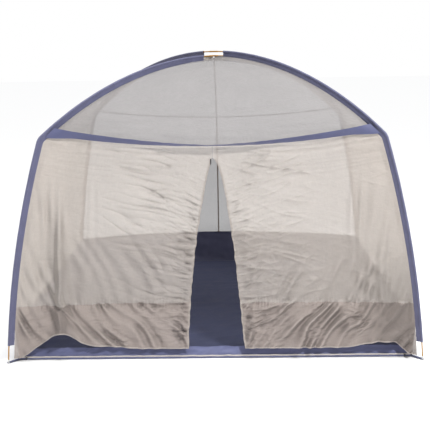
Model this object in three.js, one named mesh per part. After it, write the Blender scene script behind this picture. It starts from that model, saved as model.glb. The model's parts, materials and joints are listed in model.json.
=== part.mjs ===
// Screen house: a square mesh shelter on two crossing shock-corded poles.
// Millimetres. X points right, Y points back, Z points up. The doorway faces -Y.
// The origin is on the ground under the middle of the roof.

import * as THREE from 'three';

// ---------------------------------------------------------------- driving dimensions

const GAP = 0.3; // clearance between pieces that touch

const FLOOR_HALF = 1500; // the floor is 3 m square
const FLOOR_THICK = 2;
const SKIRT_TOP = 258; // height of the waterproof tub walls
const CLOTH = 1.5; // thickness given to every cloth shell
const SKIRT_GAP = 3 * CLOTH; // from the top of a tub wall to the bottom of its mesh

const POLE_RADIUS = 4.75;
const POLE_BORE = 2.8;
const CORD_RADIUS = 1.5;
const FOOT_REACH = 2210; // from the middle of the floor to a pole foot, along the diagonal
const FOOT_LIFT = 25; // lower end of the pole above the ground
const LEG_RADIUS = 6150; // bow of a leg
const LEG_LEAN = THREE.MathUtils.degToRad(4.8); // at the foot, from upright
const LEG_SWEEP = THREE.MathUtils.degToRad(15.5); // how much further it leans at the elbow
const ELBOW_RADIUS = 90;
const ELBOW_BORE = 6.2;
const ELBOW_OUTER = 7.2;
const ELBOW_SOCKET = 40; // how far a pole end enters the elbow
const LOW_ROOF_SLOPE = THREE.MathUtils.degToRad(34.7);
const HIGH_ROOF_SLOPE = THREE.MathUtils.degToRad(36.9); // this pole crosses over the other
const FERRULE_HALF = 50;
const FERRULE_BORE = 5.5;
const FERRULE_OUTER = 6.6;

const SLEEVE_BORE = 8.2;
const SLEEVE_OUTER = 9.4;
const SLEEVE_DEPTH = 44; // from the pole's axis to the seam
const SEAM_HALF = 1.5;
const SLEEVE_START = 110; // height above the pole's end where the sleeve begins
const CROWN_OPEN = 125; // half the length of bare pole at the crown
const EAVE_RISE = 70; // how far above the elbow the eave seam meets the roof sleeve
const SEAM_INSET = 50; // from the pole's axis to the edge of the mesh
const SEAM_SIDE_GAP = 3; // from the pole's plane to the edge of the mesh
const CROWN_REACH = 14; // where the mesh of the roof ends, beside the crown

const FRONT_SAG = 103; // how far the front eave hangs in the middle
const BACK_SAG = 75;
const FRONT_PULL = 40; // how far the front eave is drawn in
const BACK_PULL = 12;
const BACK_RISE = 70; // how much higher the tub wall at the back is in the middle

const BAND_WIDTH = 58;
const BAND_THICK = 4;
const BAND_OFFSET = 10; // in front of the eave seam
const BAND_HALF_SPAN = 1190;
const BAND_TWIST = THREE.MathUtils.degToRad(80); // the band stands up at its ends

const HEM_HEIGHT = 75;
const HEM_FRONT = 1508; // distance of the curtain's hem in front of the middle
const ZIP_TOP = 1490;
const FOLD_FOOT = 700; // where the door's fold line meets the hem
const FOLD_HEAD = 35;
const FOLD_GAP = 3;
// How far each curtain stands open at the hem, how early it parts, and how it bows below that.
const LEFT_DOOR = { part: 191, power: 0.85, bow: 1.63 };
const RIGHT_DOOR = { part: 224, power: 0.54, bow: 1 };
const ZIP_CENTRE_GAP = 4;
const TAPE_WIDTH = 12;
const TAPE_THICK = 2.4;

const SILL_FRONT = FLOOR_HALF - 0.7; // outer face of the sill's lip
const SILL_LIP = 10; // upright edge of the sill, under its zip tape
const SILL_HEIGHT = 72;
const SILL_LEAN = 55; // how far the flap above the lip leans inward
const SILL_PARK = 1440; // where the two sill sliders rest

const SLIDER_TOP = 1483;
const SLIDER_THICK = 4.5;
const SLIDER_STANDOFF = 3.2; // from the face of a tape to the middle of its slider
const PULL_THICK = 1.6;
const PULL_STANDOFF = 3.8; // from the middle of a slider to the middle of its pull
const PULL_DROP = 2; // how far below the middle of a slider its pull hangs
const DOOR_PULL = 34;
const SILL_PULL = 12;

const STRAP_WIDTH = 25;
const STRAP_THICK = 2;
const STRAP_HEIGHT = 6;

const QUARTER_TURN = Math.PI / 2;
const DIAGONAL = Math.SQRT1_2;

// ---------------------------------------------------------------- materials

const MATERIALS = {
  pole: { color: 0xb8873a, roughness: 0.35, metalness: 0.15 },
  steel: { color: 0xa8aab0, roughness: 0.35, metalness: 0.9 },
  tip: { color: 0xe6e6e2, roughness: 0.5, metalness: 0 },
  cord: { color: 0x2a2a2c, roughness: 0.9, metalness: 0 },
  navy: { color: 0x4a4f78, roughness: 0.8, metalness: 0 },
  navyFloor: { color: 0x3c415a, roughness: 0.6, metalness: 0 },
  mesh: { color: 0xcfc8c2, roughness: 0.9, metalness: 0 },
  tape: { color: 0xe8e8ea, roughness: 0.8, metalness: 0 },
  zip: { color: 0x3a3a40, roughness: 0.4, metalness: 0.8 },
};

const screenHouse = new THREE.Group();

function addPiece(name, geometry, look, azimuth = 0) {
  const mesh = new THREE.Mesh(geometry, new THREE.MeshStandardMaterial(MATERIALS[look]));
  mesh.name = name;
  mesh.rotation.z = azimuth;
  screenHouse.add(mesh);
  return mesh;
}

// ---------------------------------------------------------------- the pole line

// One quarter of a pole in its own upright plane: x is the reach from the middle, y the height.
// It rises as a gently bowed leg, turns at the elbow and runs up a roof arc to the crown.
function poleLine(roofSlope) {
  const outward = (lean) => new THREE.Vector2(Math.cos(lean), Math.sin(lean));
  const arcs = [];
  let start = new THREE.Vector2(FOOT_REACH, FOOT_LIFT);
  let length = 0;
  const addArc = (radius, leanFrom, leanTo) => {
    const centre = start.clone().addScaledVector(outward(leanFrom), -radius);
    arcs.push({ centre, radius, leanFrom, length });
    length += radius * (leanTo - leanFrom);
    start = centre.clone().addScaledVector(outward(leanTo), radius);
    return length;
  };
  const legEnd = addArc(LEG_RADIUS, LEG_LEAN, LEG_LEAN + LEG_SWEEP);
  const roofStart = addArc(ELBOW_RADIUS, LEG_LEAN + LEG_SWEEP, QUARTER_TURN - roofSlope);
  const crown = addArc(start.x / Math.sin(roofSlope), QUARTER_TURN - roofSlope, QUARTER_TURN);

  // The point at a length along the pole, moved outward from its axis by `offset`.
  const at = (station, offset = 0) => {
    const arc = arcs.findLast((each) => station >= each.length) ?? arcs[0];
    const lean = arc.leanFrom + (station - arc.length) / arc.radius;
    return arc.centre.clone().addScaledVector(outward(lean), arc.radius + offset);
  };
  const elbowMiddle = (legEnd + roofStart) / 2;
  const eave = roofStart + EAVE_RISE;
  return { at, legEnd, elbowMiddle, roofStart, eave, crown };
}

const LOW_LINE = poleLine(LOW_ROOF_SLOPE);
const HIGH_LINE = poleLine(HIGH_ROOF_SLOPE);

// The four quarters, each with the direction in which its foot lies.
const QUARTERS = [
  { name: 'front_left', azimuth: 2.5 * QUARTER_TURN, line: LOW_LINE },
  { name: 'front_right', azimuth: 3.5 * QUARTER_TURN, line: HIGH_LINE },
  { name: 'back_right', azimuth: 0.5 * QUARTER_TURN, line: LOW_LINE },
  { name: 'back_left', azimuth: 1.5 * QUARTER_TURN, line: HIGH_LINE },
];

// Lengths at which every sweep along a pole has a cross-section, so that nested tubes agree.
function sharedStations(line) {
  const stations = [];
  const divide = (from, to, count) => {
    for (let i = 0; i < count; i++) stations.push(from + ((to - from) * i) / count);
  };
  divide(0, line.legEnd - ELBOW_SOCKET, 9);
  divide(line.legEnd - ELBOW_SOCKET, line.legEnd, 1);
  divide(line.legEnd, line.roofStart, 4);
  divide(line.roofStart, line.roofStart + ELBOW_SOCKET, 1);
  divide(line.roofStart + ELBOW_SOCKET, line.crown - FERRULE_HALF, 10);
  divide(line.crown - FERRULE_HALF, line.crown, 1);
  return stations;
}

function stationsBetween(line, from, to) {
  const clear = 5; // keeps slivers out of the ends
  const inside = sharedStations(line).filter((s) => s > from + clear && s < to - clear);
  return [from, ...inside, to];
}

// A curve through chosen stations of a pole, one per step of an extrusion.
class StationCurve extends THREE.Curve {
  constructor(pointAt, stations) {
    super();
    this.pointAt = pointAt;
    this.stations = stations;
  }

  getUtoTmapping(u) {
    return u;
  }

  getPoint(t, target = new THREE.Vector3()) {
    const last = this.stations.length - 1;
    const index = Math.min(Math.floor(t * last), last - 1);
    const part = t * last - index;
    const station = THREE.MathUtils.lerp(this.stations[index], this.stations[index + 1], part);
    const point = this.pointAt(station);
    return target.set(point.x, 0, point.y);
  }
}

function sweep(pointAt, stations, shape) {
  const extrudePath = new StationCurve(pointAt, stations);
  const steps = stations.length - 1;
  return new THREE.ExtrudeGeometry(shape, { steps, extrudePath, bevelEnabled: false });
}

function ring(radius, sides, turn = 0) {
  return Array.from({ length: sides }, (_, i) => {
    const angle = turn + (i / sides) * 2 * Math.PI;
    return new THREE.Vector2(radius * Math.cos(angle), radius * Math.sin(angle));
  });
}

function tubeSection(outer, bore, sides = 8) {
  const shape = new THREE.Shape(ring(outer, sides));
  shape.holes.push(new THREE.Path(ring(bore, sides)));
  return shape;
}

// A flat-sided teardrop: it wraps the pole and narrows to the seam on its inner side.
function sleeveSection() {
  const facets = 6;
  const low = THREE.MathUtils.degToRad(-15);
  const wrap = Math.PI - 2 * low;
  const points = [new THREE.Vector2(SEAM_HALF, -SLEEVE_DEPTH)];
  for (let i = 0; i <= facets; i++) {
    const angle = low + (wrap * i) / facets;
    points.push(new THREE.Vector2(Math.cos(angle), Math.sin(angle)).multiplyScalar(SLEEVE_OUTER));
  }
  points.push(new THREE.Vector2(-SEAM_HALF, -SLEEVE_DEPTH));
  const shape = new THREE.Shape(points);
  shape.holes.push(new THREE.Path(ring(SLEEVE_BORE, 8)));
  return shape;
}

// ---------------------------------------------------------------- poles, elbows and sleeves

function addPoleQuarter({ name, azimuth, line }) {
  const along = (from, to, shape) => sweep((s) => line.at(s), stationsBetween(line, from, to), shape);
  const pole = tubeSection(POLE_RADIUS, POLE_BORE);
  const elbow = tubeSection(ELBOW_OUTER, ELBOW_BORE);
  const sleeve = sleeveSection();
  const { legEnd, roofStart, crown, elbowMiddle } = line;

  addPiece(`leg_pole_${name}`, along(0, legEnd - GAP, pole), 'pole', azimuth);
  addPiece(`roof_pole_${name}`, along(roofStart + GAP, crown - GAP, pole), 'pole', azimuth);
  const elbowTube = along(legEnd - ELBOW_SOCKET, roofStart + ELBOW_SOCKET, elbow);
  addPiece(`elbow_${name}`, elbowTube, 'steel', azimuth);
  const legSleeve = along(SLEEVE_START, elbowMiddle - GAP, sleeve);
  addPiece(`leg_sleeve_${name}`, legSleeve, 'navy', azimuth);
  const roofSleeve = along(elbowMiddle + GAP, crown - CROWN_OPEN, sleeve);
  addPiece(`roof_sleeve_${name}`, roofSleeve, 'navy', azimuth);
}

// A full pole seen from its middle: negative stations run down the far side.
function acrossCrown(line) {
  return (station) => {
    const point = line.at(line.crown - Math.abs(station));
    return new THREE.Vector2(-Math.sign(station) * point.x, point.y);
  };
}

function addCrownFerrule(name, line, azimuth) {
  const stations = [-FERRULE_HALF, 0, FERRULE_HALF];
  const section = tubeSection(FERRULE_OUTER, FERRULE_BORE);
  addPiece(name, sweep(acrossCrown(line), stations, section), 'steel', azimuth);
}

function addShockCord(name, line, azimuth) {
  const tipPlug = 24; // the foot plug fills the end of the bore
  const half = sharedStations(line).filter((s) => s > tipPlug + POLE_RADIUS);
  const down = [tipPlug, ...half].map((s) => line.crown - s);
  const stations = [...down.map((s) => -s), 0, ...down.reverse()];
  const section = new THREE.Shape(ring(CORD_RADIUS, 6));
  addPiece(name, sweep(acrossCrown(line), stations, section), 'cord', azimuth);
}

// The foot plug: a pin for the strap's eyelet, a collar under the pole and a spigot in its bore.
// It leans with the leg.
function addFootPlug({ name, azimuth }) {
  const pointRadius = 1;
  const pointHeight = 2;
  const pinRadius = 4;
  const pinTop = 14;
  const collarRadius = 6.5;
  const spigotRadius = 2.2;
  const spigotTop = FOOT_LIFT + 20;
  const profile = [
    new THREE.Vector2(0, 0),
    new THREE.Vector2(pointRadius, 0),
    new THREE.Vector2(pinRadius, pointHeight),
    new THREE.Vector2(pinRadius, pinTop),
    new THREE.Vector2(collarRadius, pinTop),
    new THREE.Vector2(collarRadius, FOOT_LIFT - GAP),
    new THREE.Vector2(spigotRadius, FOOT_LIFT - GAP),
    new THREE.Vector2(spigotRadius, spigotTop),
    new THREE.Vector2(0, spigotTop),
  ];
  const geometry = new THREE.LatheGeometry(profile, 10);
  geometry.rotateX(QUARTER_TURN);
  geometry.translate(0, 0, -FOOT_LIFT);
  geometry.rotateY(-LEG_LEAN);
  geometry.translate(FOOT_REACH, 0, FOOT_LIFT);
  addPiece(`foot_plug_${name}`, geometry, 'tip', azimuth);
}

// The corner strap: flat webbing from the floor's corner to an eyelet round the foot pin.
function addCornerStrap({ name, azimuth }) {
  const eyeletRadius = 4.8;
  const half = STRAP_WIDTH / 2;
  const start = FLOOR_HALF / DIAGONAL + 5;
  const pinDrop = FOOT_LIFT - STRAP_HEIGHT - STRAP_THICK / 2;
  const end = FOOT_REACH + pinDrop * Math.tan(LEG_LEAN);
  const shape = new THREE.Shape();
  shape.moveTo(start, -half);
  shape.lineTo(end, -half);
  shape.absarc(end, 0, half, -QUARTER_TURN, QUARTER_TURN);
  shape.lineTo(start, half);
  shape.closePath();
  const eyelet = ring(eyeletRadius, 10).map((p) => p.add(new THREE.Vector2(end, 0)));
  shape.holes.push(new THREE.Path(eyelet));
  const options = { depth: STRAP_THICK, bevelEnabled: false, curveSegments: 8 };
  const geometry = new THREE.ExtrudeGeometry(shape, options);
  geometry.translate(0, 0, STRAP_HEIGHT);
  addPiece(`corner_strap_${name}`, geometry, 'navy', azimuth);
}

// ---------------------------------------------------------------- cloth shells

// A closed shell over a grid of points: its outer face is pointAt(across, up), both from 0 to 1,
// and its inner face lies `thickness` behind. `across` then `up` turn anticlockwise seen from
// outside.
function clothShell(pointAt, acrossSteps, upSteps, thickness = CLOTH) {
  const columns = acrossSteps + 1;
  const outer = [];
  for (let j = 0; j <= upSteps; j++) {
    for (let i = 0; i <= acrossSteps; i++) outer.push(pointAt(i / acrossSteps, j / upSteps));
  }
  const at = (i, j) => {
    const column = THREE.MathUtils.clamp(i, 0, acrossSteps);
    const row = THREE.MathUtils.clamp(j, 0, upSteps);
    return outer[row * columns + column];
  };
  const inner = outer.map((point, index) => {
    const i = index % columns;
    const j = Math.floor(index / columns);
    const alongRow = at(i + 1, j).clone().sub(at(i - 1, j));
    const alongColumn = at(i, j + 1).clone().sub(at(i, j - 1));
    const normal = alongRow.cross(alongColumn).normalize();
    return point.clone().addScaledVector(normal, -thickness);
  });

  const indices = [];
  const behind = outer.length;
  const addQuad = (a, b, c, d) => indices.push(a, b, c, a, c, d);
  for (let j = 0; j < upSteps; j++) {
    for (let i = 0; i < acrossSteps; i++) {
      const a = j * columns + i;
      addQuad(a, a + 1, a + columns + 1, a + columns);
      addQuad(behind + a, behind + a + columns, behind + a + columns + 1, behind + a + 1);
    }
  }
  const top = upSteps * columns;
  for (let i = 0; i < acrossSteps; i++) {
    addQuad(behind + i, behind + i + 1, i + 1, i);
    addQuad(top + i, top + i + 1, behind + top + i + 1, behind + top + i);
  }
  for (let j = 0; j < upSteps; j++) {
    const left = j * columns;
    const right = left + acrossSteps;
    addQuad(left, left + columns, behind + left + columns, behind + left);
    addQuad(behind + right, behind + right + columns, right + columns, right);
  }
  const geometry = new THREE.BufferGeometry();
  geometry.setFromPoints([...outer, ...inner]);
  geometry.setIndex(indices);
  return geometry;
}

const SIDES = [
  { name: 'front', turn: 0, sag: FRONT_SAG, pull: FRONT_PULL, lines: [LOW_LINE, HIGH_LINE] },
  { name: 'right', turn: 1, sag: BACK_SAG, pull: BACK_PULL, lines: [HIGH_LINE, LOW_LINE] },
  {
    name: 'back',
    turn: 2,
    sag: BACK_SAG,
    pull: BACK_PULL,
    rise: BACK_RISE,
    lines: [LOW_LINE, HIGH_LINE],
  },
  { name: 'left', turn: 3, sag: BACK_SAG, pull: BACK_PULL, lines: [HIGH_LINE, LOW_LINE] },
];

const EAVE = LOW_LINE.at(LOW_LINE.eave, -SEAM_INSET);
const EAVE_HALF = EAVE.x * DIAGONAL;
const EAVE_HEIGHT = EAVE.y;
const WALL_TOP = EAVE_HEIGHT - 6;

// How strongly the sag acts across a side: 0 at its corners, 1 in the middle.
const middleness = (across) => 1 - (2 * across - 1) ** 2;

// A roof panel as it lies on the front side: across from left to right, up from eave to crown.
function roofPoint({ sag, pull, lines }, across, up) {
  const [left, right] = lines.map((line) => {
    const topStation = line.crown - CROWN_REACH;
    const station = THREE.MathUtils.lerp(line.eave, topStation, up);
    return line.at(station, -SEAM_INSET);
  });
  const edge = (reach, sign) => sign * (reach * DIAGONAL - SEAM_SIDE_GAP);
  const leftPoint = new THREE.Vector3(edge(left.x, -1), -left.x * DIAGONAL, left.y);
  const rightPoint = new THREE.Vector3(edge(right.x, 1), -right.x * DIAGONAL, right.y);
  const point = leftPoint.lerp(rightPoint, across);
  const slack = middleness(across) * (1 - up) ** 2;
  point.z -= sag * slack;
  point.y += pull * slack;
  return point;
}

// Half the width of the shelter at a height on its walls, where the mesh meets a leg's sleeve.
function halfWidth(height) {
  let low = -SEAM_INSET;
  let high = LOW_LINE.eave;
  for (let i = 0; i < 30; i++) {
    const middle = (low + high) / 2;
    if (LOW_LINE.at(middle, -SEAM_INSET).y < height) low = middle;
    else high = middle;
  }
  return LOW_LINE.at(low, -SEAM_INSET).x * DIAGONAL;
}

// The tub walls end level, but the one at the back is bowed upward along its top.
const skirtTop = ({ rise = 0 }, across) => SKIRT_TOP + rise * middleness(across);
const ELBOW_HEIGHT = LOW_LINE.at(LOW_LINE.elbowMiddle, -SEAM_INSET).y;

// Rows up a wall from its base: even up to the elbow, then closer together.
function wallHeight(base, up) {
  const knee = 0.75;
  if (up < knee) return THREE.MathUtils.lerp(base, ELBOW_HEIGHT, up / knee);
  return THREE.MathUtils.lerp(ELBOW_HEIGHT, WALL_TOP, (up - knee) / (1 - knee));
}

// A mesh wall as it lies on the front side, from the skirt up to the eave.
function wallPoint(side, across, up) {
  const base = skirtTop(side, across) + SKIRT_GAP;
  const height = wallHeight(base, up);
  const half = halfWidth(height);
  const slack = middleness(across) * ((height - base) / (WALL_TOP - base)) ** 2;
  const x = THREE.MathUtils.lerp(-1, 1, across) * (half - SEAM_SIDE_GAP);
  return new THREE.Vector3(x, -half + side.pull * slack, height - side.sag * slack);
}

// The tub wall: from the edge of the floor out to the bottom of the mesh.
function skirtPoint(side, across, up) {
  const base = FLOOR_THICK + 2 * GAP;
  const top = skirtTop(side, across);
  const half = THREE.MathUtils.lerp(FLOOR_HALF, halfWidth(top), up);
  const x = THREE.MathUtils.lerp(-1, 1, across) * (half - SEAM_SIDE_GAP);
  return new THREE.Vector3(x, -half, THREE.MathUtils.lerp(base, top, up));
}

function addSide(side) {
  const azimuth = side.turn * QUARTER_TURN;
  const roof = clothShell((across, up) => roofPoint(side, across, up), 8, 8);
  addPiece(`roof_panel_${side.name}`, roof, 'mesh', azimuth);
  if (side.name === 'front') return;
  const wall = clothShell((across, up) => wallPoint(side, across, up), 6, 8);
  addPiece(`wall_${side.name}`, wall, 'mesh', azimuth);
  const skirt = clothShell((across, up) => skirtPoint(side, across, up), 6, 2);
  addPiece(`skirt_${side.name}`, skirt, 'navyFloor', azimuth);
}

function addBackSeam() {
  const halfTape = 8;
  const inset = 2 * CLOTH + GAP;
  const back = SIDES.find((side) => side.name === 'back');
  const centreLine = (up) => wallPoint(back, 0.5, up * 0.99);
  const tape = (across, up) => {
    const point = centreLine(up);
    point.x = THREE.MathUtils.lerp(-halfTape, halfTape, across);
    point.y += inset;
    return point;
  };
  addPiece('back_seam_tape', clothShell(tape, 1, 8), 'tape', 2 * QUARTER_TURN);
}

// ---------------------------------------------------------------- floor and sill

function addFloor() {
  const width = 2 * (FLOOR_HALF - SEAM_SIDE_GAP);
  const floor = new THREE.BoxGeometry(width, width, FLOOR_THICK);
  floor.translate(0, 0, FLOOR_THICK / 2);
  addPiece('floor', floor, 'navyFloor');
}

// The sill: an upright lip on the floor's front edge, then a flap that leans inward.
function sillPoint(across, up) {
  const fold = 0.25; // the share of the rows that lies in the lip
  const half = FLOOR_HALF - 4 * SEAM_SIDE_GAP;
  const base = FLOOR_THICK + 2 * GAP;
  const lip = Math.min(1, up / fold);
  const flap = Math.max(0, (up - fold) / (1 - fold));
  const x = THREE.MathUtils.lerp(-half, half, across);
  const height = THREE.MathUtils.lerp(base, SILL_LIP, lip) + flap * (SILL_HEIGHT - SILL_LIP);
  return new THREE.Vector3(x, -SILL_FRONT + flap * SILL_LEAN, height);
}

function addSill() {
  addPiece('sill', clothShell(sillPoint, 1, 4), 'navy');

  const width = 2 * (FLOOR_HALF - 4 * SEAM_SIDE_GAP);
  const tape = new THREE.BoxGeometry(width, TAPE_THICK, TAPE_WIDTH);
  const front = SILL_FRONT + GAP + TAPE_THICK / 2;
  tape.translate(0, -front, SILL_LIP + GAP + TAPE_WIDTH / 2);
  addPiece('sill_zip_tape', tape, 'tape');
}

// ---------------------------------------------------------------- front curtains and doors

const EAVE_MIDDLE_HEIGHT = WALL_TOP - FRONT_SAG;
const CURTAIN_HEAD_FRONT = EAVE_HALF - FRONT_PULL;

// Depth of the front curtains: flat between the fold feet, then bending out to the corner seams.
function frontDepth(x, height) {
  const rise = (height - HEM_HEIGHT) / (EAVE_MIDDLE_HEIGHT - HEM_HEIGHT);
  const flat = -THREE.MathUtils.lerp(HEM_FRONT, CURTAIN_HEAD_FRONT, rise);
  const half = halfWidth(height);
  const flatHalf = FOLD_FOOT + FOLD_GAP;
  const bend = Math.max(0, (Math.abs(x) - flatHalf) / (half - flatHalf)) ** 2;
  return THREE.MathUtils.lerp(flat, -half, bend);
}

const dropBelowZip = (height) => (ZIP_TOP - height) / (ZIP_TOP - HEM_HEIGHT);
// Rows lie closer together near the top of the zip, where its edge turns most.
const rowShare = (up) => 1 - (1 - up) ** 1.6;
const foldReach = (drop) => THREE.MathUtils.lerp(FOLD_HEAD, FOLD_FOOT, drop);

// How far from the middle a zip edge lies, a share of the way down from the top of the zip.
function zipReach(door, drop) {
  const opened = 1 - (1 - drop) ** door.bow;
  return ZIP_CENTRE_GAP + door.part * opened ** door.power;
}

function frontPoint(sign, reach, height) {
  return new THREE.Vector3(sign * reach, frontDepth(reach, height), height);
}

// The fixed part of a curtain, from its fold line to the corner seam and up to the eave.
function fixedCurtainPoint(sign, across, up) {
  const zipRow = 0.8; // the share of the rows that lies below the top of the zip
  const below = up <= zipRow;
  const drop = below ? 1 - up / zipRow : 0;
  const above = below ? 0 : (up - zipRow) / (1 - zipRow);
  const besideZip = (FOLD_HEAD + FOLD_GAP) * (1 - above) + FOLD_GAP / 2;
  const centre = below ? foldReach(drop) + FOLD_GAP : besideZip;
  const straight = THREE.MathUtils.lerp(ZIP_TOP, HEM_HEIGHT, drop);
  const corner = halfWidth(straight + above * (WALL_TOP - ZIP_TOP)) - SEAM_SIDE_GAP;
  const reach = THREE.MathUtils.lerp(centre, corner, across);
  const eave = WALL_TOP - FRONT_SAG * (1 - (reach / EAVE_HALF) ** 2);
  const head = THREE.MathUtils.lerp(ZIP_TOP, eave, above);
  const height = below ? straight : head;
  return frontPoint(sign, reach, height);
}

// The part of a curtain that folds back: between its zip edge and its fold line.
function leafPoint(sign, door, across, up) {
  const drop = 1 - up;
  const height = THREE.MathUtils.lerp(HEM_HEIGHT, ZIP_TOP, up);
  const edge = zipReach(door, drop) + TAPE_WIDTH + 2 * GAP;
  return frontPoint(sign, THREE.MathUtils.lerp(edge, foldReach(drop), across), height);
}

function tapePoint(sign, door, across, up) {
  const drop = 1 - up;
  const height = THREE.MathUtils.lerp(HEM_HEIGHT, ZIP_TOP, up);
  const reach = zipReach(door, drop) + across * TAPE_WIDTH;
  return frontPoint(sign, reach, height);
}

function addCurtain(name, sign, door) {
  // Left of the middle, running outward is running right to left, so the grid is turned round.
  const facing = (pointAt) => (across, up) => pointAt(sign > 0 ? across : 1 - across, up);
  const fixed = clothShell(facing((a, u) => fixedCurtainPoint(sign, a, u)), 6, 10);
  addPiece(`curtain_${name}`, fixed, 'mesh');
  const leaf = clothShell(facing((a, u) => leafPoint(sign, door, a, rowShare(u))), 4, 8);
  addPiece(`door_leaf_${name}`, leaf, 'mesh');
  const tape = clothShell(facing((a, u) => tapePoint(sign, door, a, rowShare(u))), 1, 8, TAPE_THICK);
  addPiece(`door_zip_tape_${name}`, tape, 'tape');
}

// The front eave band: upright at its ends, twisted flat in the middle.
function bandPoint(across, up) {
  const x = THREE.MathUtils.lerp(-BAND_HALF_SPAN, BAND_HALF_SPAN, across);
  const slack = 1 - (x / EAVE_HALF) ** 2;
  const twist = BAND_TWIST * Math.abs(x / BAND_HALF_SPAN);
  const reach = BAND_OFFSET + BAND_WIDTH * up * Math.cos(twist);
  const y = -(EAVE_HALF - FRONT_PULL * slack) - reach;
  const z = EAVE_HEIGHT - FRONT_SAG * slack + BAND_WIDTH * up * Math.sin(twist);
  return new THREE.Vector3(x, y, z);
}

// ---------------------------------------------------------------- zip sliders and pulls

function plate(outline, depth, hole) {
  const shape = new THREE.Shape(outline);
  if (hole) shape.holes.push(new THREE.Path(hole));
  const geometry = new THREE.ExtrudeGeometry(shape, { depth, bevelEnabled: false });
  geometry.translate(0, 0, -depth / 2);
  return geometry;
}

// A slider's body: broad at its mouth, narrow at its tail.
function sliderBody() {
  const mouth = 5.5;
  const tail = 3.5;
  const halfLength = 7;
  const points = [
    new THREE.Vector2(-tail, -halfLength),
    new THREE.Vector2(tail, -halfLength),
    new THREE.Vector2(mouth, halfLength - 2),
    new THREE.Vector2(mouth - 2, halfLength),
    new THREE.Vector2(2 - mouth, halfLength),
    new THREE.Vector2(-mouth, halfLength - 2),
  ];
  return plate(points, SLIDER_THICK);
}

// A pull tab that hangs from the origin, with a hole near its round end.
function pullTab(length) {
  const half = 4;
  const points = [new THREE.Vector2(half, 0), new THREE.Vector2(-half, 0)];
  for (let i = 0; i <= 6; i++) {
    const angle = Math.PI + (Math.PI * i) / 6;
    const x = half * Math.cos(angle);
    points.push(new THREE.Vector2(x, half * Math.sin(angle) - length + half));
  }
  const hole = ring(1.8, 6).map((p) => p.add(new THREE.Vector2(0, half - length)));
  return plate(points, PULL_THICK, hole);
}

// Stands a plate up against the front, leaning back as the curtain does.
function placeOnFront(mesh, x, y, z, lean = 0) {
  mesh.position.set(x, y, z);
  mesh.rotation.x = QUARTER_TURN - lean;
}

function addSliders() {
  const lean = Math.atan2(HEM_FRONT - CURTAIN_HEAD_FRONT, EAVE_MIDDLE_HEIGHT - HEM_HEIGHT);
  const edge = zipReach(LEFT_DOOR, dropBelowZip(SLIDER_TOP)) + TAPE_WIDTH / 2;
  const front = frontDepth(edge, SLIDER_TOP) - SLIDER_STANDOFF;
  const slider = addPiece('door_slider', sliderBody(), 'zip');
  placeOnFront(slider, -edge, front, SLIDER_TOP, lean);
  const pull = addPiece('door_slider_pull', pullTab(DOOR_PULL), 'zip');
  placeOnFront(pull, -edge, front - PULL_STANDOFF, SLIDER_TOP - PULL_DROP, lean);

  const sillFront = -SILL_FRONT - GAP - TAPE_THICK - SLIDER_STANDOFF;
  const sillHeight = SILL_LIP + GAP + TAPE_WIDTH / 2;
  for (const [side, sign] of [['left', -1], ['right', 1]]) {
    const body = sliderBody().rotateZ(sign * QUARTER_TURN);
    placeOnFront(addPiece(`sill_slider_${side}`, body, 'zip'), sign * SILL_PARK, sillFront, sillHeight);
    const tab = addPiece(`sill_slider_pull_${side}`, pullTab(SILL_PULL), 'zip');
    placeOnFront(tab, sign * SILL_PARK, sillFront - PULL_STANDOFF, sillHeight - PULL_DROP);
  }
}

// ---------------------------------------------------------------- assembly

for (const quarter of QUARTERS) {
  addPoleQuarter(quarter);
  addFootPlug(quarter);
  addCornerStrap(quarter);
}
const [LOW_QUARTER, HIGH_QUARTER] = QUARTERS;
for (const [name, quarter] of [['low', LOW_QUARTER], ['high', HIGH_QUARTER]]) {
  addCrownFerrule(`crown_ferrule_${name}`, quarter.line, quarter.azimuth);
  addShockCord(`shock_cord_${name}`, quarter.line, quarter.azimuth);
}
SIDES.forEach(addSide);
addBackSeam();
addFloor();
addSill();
addCurtain('left', -1, LEFT_DOOR);
addCurtain('right', 1, RIGHT_DOOR);
addPiece('front_eave_band', clothShell(bandPoint, 12, 2, BAND_THICK), 'navy');
addSliders();

export default screenHouse;
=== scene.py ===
"""Looks of the screen house: a square mesh shelter hung on two crossing shock-corded poles.

Metres. X points right, Y points back, Z points up, and the doorway faces -Y. Every piece lies on
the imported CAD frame. Cloth is made as open sheets over grids of points: a smooth base shape, then
creases and folds moved into it by formula.
"""

import json
from collections import namedtuple

import bpy
import numpy as np
from mathutils import Matrix, Vector


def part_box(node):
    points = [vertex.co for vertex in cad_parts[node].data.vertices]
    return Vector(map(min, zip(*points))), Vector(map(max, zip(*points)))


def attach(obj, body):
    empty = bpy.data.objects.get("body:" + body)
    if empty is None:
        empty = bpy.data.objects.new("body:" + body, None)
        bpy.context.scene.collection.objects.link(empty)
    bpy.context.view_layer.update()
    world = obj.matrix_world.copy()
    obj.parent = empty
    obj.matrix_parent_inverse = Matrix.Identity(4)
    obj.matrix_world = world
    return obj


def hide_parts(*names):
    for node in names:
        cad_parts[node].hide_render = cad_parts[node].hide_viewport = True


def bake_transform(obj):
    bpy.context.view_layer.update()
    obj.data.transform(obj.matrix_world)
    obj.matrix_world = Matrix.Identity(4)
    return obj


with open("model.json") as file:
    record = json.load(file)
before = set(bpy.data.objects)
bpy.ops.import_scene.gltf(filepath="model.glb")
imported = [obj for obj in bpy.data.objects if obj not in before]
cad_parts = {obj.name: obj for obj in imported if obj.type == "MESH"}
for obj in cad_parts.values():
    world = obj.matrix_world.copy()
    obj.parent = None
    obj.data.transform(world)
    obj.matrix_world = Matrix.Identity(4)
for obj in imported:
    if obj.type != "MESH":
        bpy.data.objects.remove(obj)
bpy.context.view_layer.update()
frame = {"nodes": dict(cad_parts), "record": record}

# -------- driving dimensions

JOINTS = {joint["name"]: joint for joint in frame["record"]["behaviour"]["joints"]}

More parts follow.
